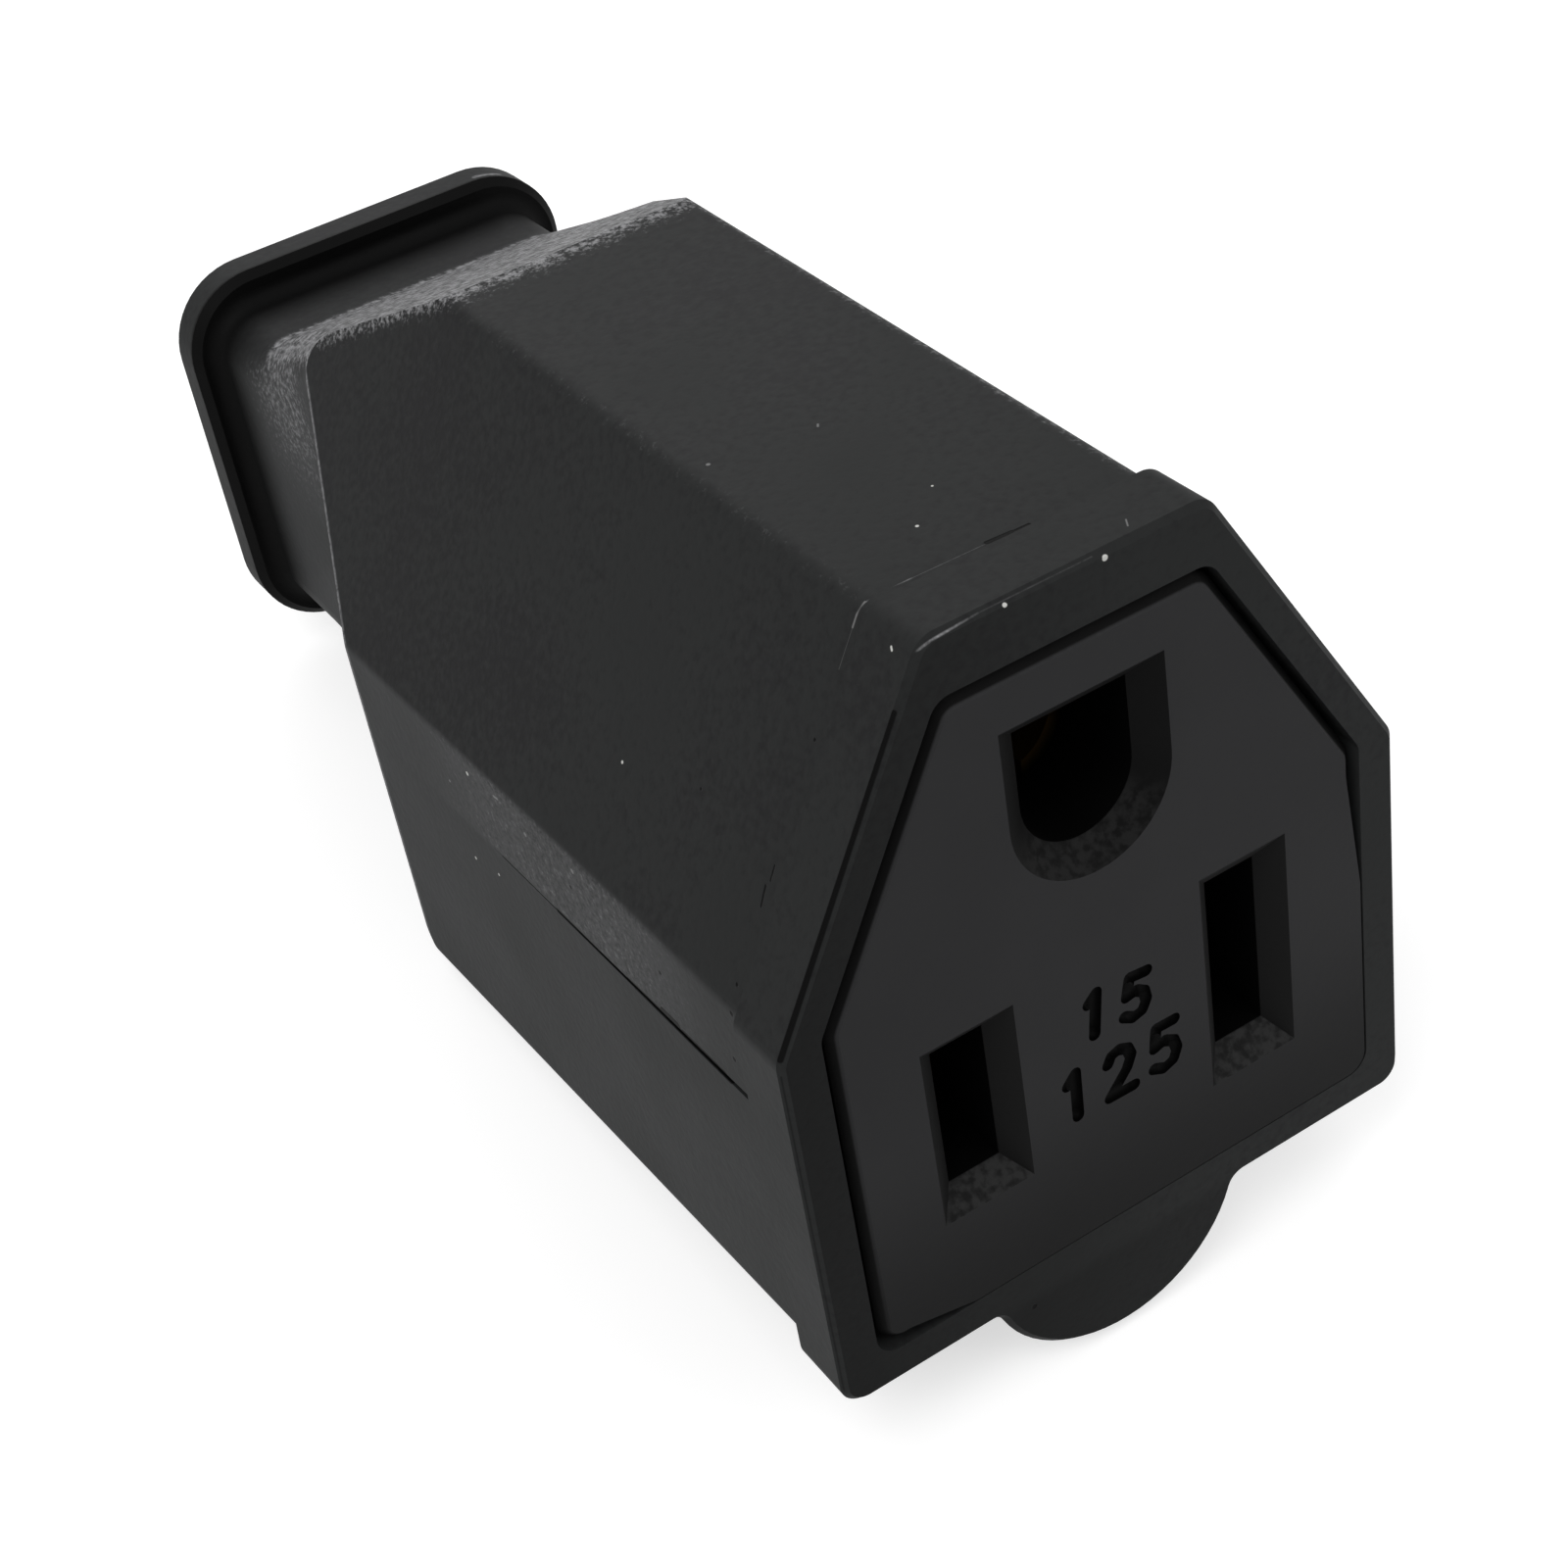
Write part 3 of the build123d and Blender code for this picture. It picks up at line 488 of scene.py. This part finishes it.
def plain_metal(name, colour, roughness):
    """Metal with fine drawing marks."""
    mark_size = 0.4
    smoother = 0.08
    rougher = 0.10
    material, tree = new_material(name)
    place, outward = object_place(tree)
    marks = add(tree, "ShaderNodeTexNoise", {"Vector": place, "Scale": 1 / mark_size, "Detail": 4.0})
    rough = slope(tree, marks, 0.3, 0.7, roughness - smoother, roughness + rougher)
    surface = add(tree, "ShaderNodeBump", {"Height": marks, "Distance": 0.01 * MM, "Strength": 0.4})
    shader = add(tree, "ShaderNodeBsdfPrincipled", {
        "Base Color": linear(colour), "Roughness": rough, "Metallic": 1.0, "Normal": surface})
    add(tree, "ShaderNodeOutputMaterial", {"Surface": shader})
    return material


# Depths at which the painted shade of each nylon finish starts and is full: black as shade in the recesses.
# Pieces without it have theirs past the object.
unshaded = (90.0, 91.0)
face_shade_depths = (0.05, 0.14)
funnel_shade_depths = (0.86, 0.92)
hollow_shade_depths = (0.0, 0.1)
housing = housing_plastic()
plain_insert = insert_plastic("moulded_nylon", "#2b2b2c", "#2d2d2e", "#303031", *unshaded)
insert = insert_plastic("moulded_nylon_insert", "#2c2c2d", "#2f2f30", "#303031", *face_shade_depths)
# The funnels, the ground funnel and the hollows are painted darker as shade in the recesses, the last two
# near black
funnel = insert_plastic("moulded_nylon_funnel", "#101010", "#121212", "#292929", *funnel_shade_depths)
ground_funnel = insert_plastic("moulded_nylon_ground_funnel", "#040404", "#050505", "#1a1a1a", *funnel_shade_depths)
hollow = insert_plastic("moulded_nylon_hollow", "#020202", "#030303", "#040404", *hollow_shade_depths)
clamp = insert_plastic("moulded_nylon_clamp", "#1d1d1e", "#202021", "#242425", *unshaded)
brass = plain_metal("tarnished_brass", "#54411f", 0.50)
screw_brass = plain_metal("turned_brass", "#b8924a", 0.32)
steel = plain_metal("zinc_plated_steel", "#b9bbbf", 0.38)
green = plain_metal("green_passivated_steel", "#2f7a45", 0.35)
finishes = {
    "housing": housing, "insert": plain_insert, "clamp_plastic": clamp, "brass": brass,
    "brass_screw": screw_brass, "plated_screw": steel, "green_screw": green, "plated_steel": steel}
slot_of = {part["node"]: part["material_slot"] for part in frame["record"]["subparts"]}


def dress(piece, *materials):
    """Gives the piece its materials."""
    piece.data.materials.clear()
    for material in materials:
        piece.data.materials.append(material)


for node_name, node_object in nodes.items():
    dress(node_object, finishes[slot_of[node_name]])


# Plain engraved numerals: each is one stroke, drawn in a cell one wide and one high
numerals = {
    "1": [(0.22, 0.80), (0.50, 1.0), (0.50, 0.0)],
    "2": [(0.05, 0.78), (0.18, 0.94), (0.45, 1.0), (0.75, 0.92), (0.86, 0.72), (0.70, 0.48), (0.05, 0.0),
          (0.92, 0.0)],
    "5": [(0.86, 1.0), (0.20, 1.0), (0.12, 0.56), (0.48, 0.63), (0.80, 0.52), (0.90, 0.30), (0.76, 0.08),
          (0.42, 0.0), (0.06, 0.10)],
}
# Each row of numerals: its digits, the middle of its foot, their height, and their tilt in degrees
numeral_rows = [
    ("15", Vector((0.0, 0.0, 0.85)), 1.95, -7.0),
    ("125", Vector((0.05, 0.0, -2.55)), 2.15, -1.5),
]
numeral_width = 0.62
numeral_pitch = 0.98
stroke_radius = 0.31
stroke_sink = 0.14
stroke_sides = 16
stroke_rings = 8

# Depth of the funnels, how far behind the face a centre counts as inside a hollow, and the areas of the face
# that the numerals, the blade slots and the ground hole take up: least and greatest reach from the middle,
# then lowest and highest place
funnel_depth = 0.9
skin = 0.004
numeral_area = (0.0, 3.9, -3.4, 3.6)
slot_area = (3.9, 8.6, -5.4, 5.8)
ground_area = (0.0, 3.7, 8.0, 16.3)


def stroke_tool():
    """Round-nosed strokes of the numerals, more than half sunk in the plane of the mating face."""
    mesh = bmesh.new()
    upright = Vector((0, 0, 1))
    for digits, foot, cap, tilt in numeral_rows:
        turn = Matrix.Rotation(radians(-tilt), 4, "Y")
        for place, digit in enumerate(digits):
            left = (place - (len(digits) - 1) / 2) * numeral_pitch * cap - numeral_width * cap / 2
            path = [
                foot + turn @ Vector((left + x * numeral_width * cap, stroke_sink, z * cap))
                for x, z in numerals[digit]]
            for point in path:
                spot = Matrix.Translation(point * MM)
                bmesh.ops.create_uvsphere(
                    mesh, u_segments=stroke_sides, v_segments=stroke_rings, radius=stroke_radius * MM,
                    matrix=spot)
            for start, end in zip(path, path[1:]):
                run = end - start
                spin = upright.rotation_difference(run).to_matrix().to_4x4()
                middle = Matrix.Translation((start + end) / 2 * MM)
                bmesh.ops.create_cone(
                    mesh, cap_ends=True, segments=stroke_sides, radius1=stroke_radius * MM,
                    radius2=stroke_radius * MM, depth=run.length * MM, matrix=middle @ spin)
    data = bpy.data.meshes.new("strokes")
    mesh.to_mesh(data)
    mesh.free()
    return bpy.data.objects.new("strokes", data)


def add_lip(mesh, outline, front, back):
    """A thin rib with the given outline seen from the front, between two depths in millimetres."""
    base = [mesh.verts.new((x * MM, front * MM, z * MM)) for x, z in outline]
    face = mesh.faces.new(base)
    rib = bmesh.ops.extrude_face_region(mesh, geom=[face])["geom"]
    far = [item for item in rib if isinstance(item, bmesh.types.BMVert)]
    bmesh.ops.translate(mesh, vec=Vector((0, (back - front) * MM, 0)), verts=far)
    sides = {side for vertex in base + far for side in vertex.link_faces}
    bmesh.ops.recalc_face_normals(mesh, faces=list(sides))


def lip_outline():
    """The grime seen from the front: full from the bottom to the lower right, thinner up the side and to the
    left. It starts at the left end, fills the corner of the window, and ends up the right side."""
    line = 0.05
    side_line = 0.10
    overlap = 0.2
    corner_steps = 6
    left_end = -10.6
    left_full = -7.6
    right_full = 1.0
    right_end = 6.6
    low = window_bottom + line
    side = window_half_width - side_line
    radius = window_radius - side_line
    insert_low = window_bottom + insert_gap
    insert_side = window_half_width - insert_gap
    under = insert_bevel + overlap
    outline = [(left_end, insert_low + under), (left_end, insert_low + insert_bevel), (left_full, low)]
    for step in range(corner_steps + 1):
        turn = radians(90 * step / corner_steps)
        outline.append((side - radius + radius * sin(turn), low + radius - radius * cos(turn)))
    outline += [
        (side, right_full), (insert_side - insert_bevel, right_end),
        (insert_side - under, insert_low + under)]
    return outline


def insert_finish(centre):
    """Which finish a face of the insert has, from its centre in millimetres: 0 face, 1 blade funnel,
    2 hollow, 3 ground funnel."""
    def within(area):
        least, greatest, low, high = area
        return least <= abs(centre.x) < greatest and low < centre.z < high

    sunk = centre.y > skin
    # Faces past the funnels and the sunk numerals take the hollow finish, painted black as shade
    if centre.y > funnel_depth + skin or (sunk and within(numeral_area)):
        return 2
    if sunk and within(ground_area):
        return 3
    return 1 if sunk and within(slot_area) else 0


def make_engraved_insert():
    """The insert with its numerals cut in, and packed grime in the gap under it and to its right."""
    merge_distance = 0.001
    flat_limit = radians(0.5)
    sharp_limit = radians(35)
    scene = bpy.context.scene
    piece = bpy.data.objects.new("engraved_insert", nodes["face_insert"].data.copy())
    scene.collection.objects.link(piece)
    mesh = bmesh.new()
    mesh.from_mesh(piece.data)
    bmesh.ops.remove_doubles(mesh, verts=mesh.verts, dist=merge_distance * MM)
    bmesh.ops.dissolve_limit(mesh, angle_limit=flat_limit, verts=mesh.verts, edges=mesh.edges)
    mesh.to_mesh(piece.data)
    mesh.free()
    tool = stroke_tool()
    scene.collection.objects.link(tool)
    cut = piece.modifiers.new("numerals", "BOOLEAN")
    cut.operation = "DIFFERENCE"
    cut.solver = "EXACT"
    cut.use_self = True
    cut.object = tool
    bpy.context.view_layer.update()
    finished = bpy.data.meshes.new_from_object(piece.evaluated_get(bpy.context.evaluated_depsgraph_get()))
    piece.modifiers.clear()
    piece.data = finished
    piece.data.attributes.remove(piece.data.attributes["custom_normal"])
    bpy.data.objects.remove(tool)

    dress(piece, insert, funnel, hollow, ground_funnel)
    mesh = bmesh.new()
    mesh.from_mesh(piece.data)
    add_lip(mesh, lip_outline(), skin, collar_depth)
    for face in mesh.faces:
        face.material_index = insert_finish(face.calc_center_median() / MM)
    mesh.to_mesh(piece.data)
    mesh.free()
    piece.data.shade_smooth()
    piece.data.set_sharp_from_angle(angle=sharp_limit)
    flat = piece.modifiers.new("flat_faces", "WEIGHTED_NORMAL")
    flat.keep_sharp = True
    flat.weight = 100
    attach(piece, "root")
    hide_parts("face_insert")


def make_table():
    """Pale table that passes through the two lines on which the connector rests."""
    glow_strength = 0.62
    run = rear_foot - lug_foot
    incline = run.angle(Vector((0, 1, 0)))
    mesh = bmesh.new()
    bmesh.ops.create_grid(mesh, x_segments=1, y_segments=1, size=table_size / 2 * MM)
    turn = Matrix.Rotation(incline, 4, "X")
    bmesh.ops.transform(mesh, matrix=Matrix.Translation(lug_foot * MM) @ turn, verts=mesh.verts)
    data = bpy.data.meshes.new("table")
    mesh.to_mesh(data)
    mesh.free()
    table = bpy.data.objects.new("table", data)
    bpy.context.scene.collection.objects.link(table)
    material, tree = new_material("white_paper")
    light_path = add(tree, "ShaderNodeLightPath").node
    seen = fold(
        tree, "MAXIMUM", light_path.outputs["Is Camera Ray"], light_path.outputs["Is Glossy Ray"],
        light_path.outputs["Is Transmission Ray"])
    paper = add(tree, "ShaderNodeBsdfDiffuse", {"Color": linear("#c9c9c9")})
    glow = add(tree, "ShaderNodeEmission", {"Color": linear("#ffffff"), "Strength": glow_strength})
    lit = add(tree, "ShaderNodeAddShader", {0: paper, 1: glow})
    mixed = add(tree, "ShaderNodeMixShader", {0: seen, 1: paper, 2: lit})
    add(tree, "ShaderNodeOutputMaterial", {"Surface": mixed})
    dress(table, material)


def make_world(ambient):
    """White surroundings for the camera and reflections, and a dimmer even light on the connector."""
    world = bpy.data.worlds.new("studio")
    bpy.context.scene.world = world
    world.use_nodes = True
    tree = world.node_tree
    tree.nodes.clear()
    light_path = add(tree, "ShaderNodeLightPath").node
    seen = fold(
        tree, "MAXIMUM", light_path.outputs["Is Camera Ray"], light_path.outputs["Is Glossy Ray"],
        light_path.outputs["Is Transmission Ray"])
    strength = add(tree, "ShaderNodeMapRange", {"Value": seen, "To Min": ambient, "To Max": 1.0})
    sky = add(tree, "ShaderNodeBackground", {"Color": linear("#ffffff"), "Strength": strength})
    add(tree, "ShaderNodeOutputWorld", {"Surface": sky})


def make_lamp(name, place, size, power):
    """Square softbox at a place in millimetres, turned to the middle of the connector."""
    data = bpy.data.lights.new(name, "AREA")
    data.size = size * MM
    data.energy = power
    lamp = bpy.data.objects.new(name, data)
    bpy.context.scene.collection.objects.link(lamp)
    lamp.location = Vector(place) * MM
    lamp.rotation_euler = (aim - Vector(place)).to_track_quat("-Z", "Y").to_euler()


def make_camera():
    """Camera of the photograph."""
    data = bpy.data.cameras.new("camera")
    data.lens = focal_length
    data.sensor_width = sensor_width
    data.clip_start = 0.001
    camera = bpy.data.objects.new("camera", data)
    bpy.context.scene.collection.objects.link(camera)
    level = (aim - eye).to_track_quat("-Z", "Y").to_matrix().to_4x4()
    turn = Matrix.Rotation(radians(roll), 4, "Z")
    camera.matrix_world = Matrix.Translation(eye * MM) @ level @ turn
    bpy.context.scene.camera = camera


# Strength of the even light, and each lamp with its place, its size and its power in watts
ambient_light = 0.40
lamps = [
    ("key", (-260, -140, 420), 260, 1.0),
    ("fill", (260, -320, 220), 300, 0.5),
    ("rear", (60, 380, 320), 300, 0.7),
]

make_engraved_insert()
make_table()
make_world(ambient_light)
for lamp_name, lamp_place, lamp_size, lamp_power in lamps:
    make_lamp(lamp_name, lamp_place, lamp_size, lamp_power)
make_camera()
bpy.context.scene.view_settings.view_transform = "Standard"
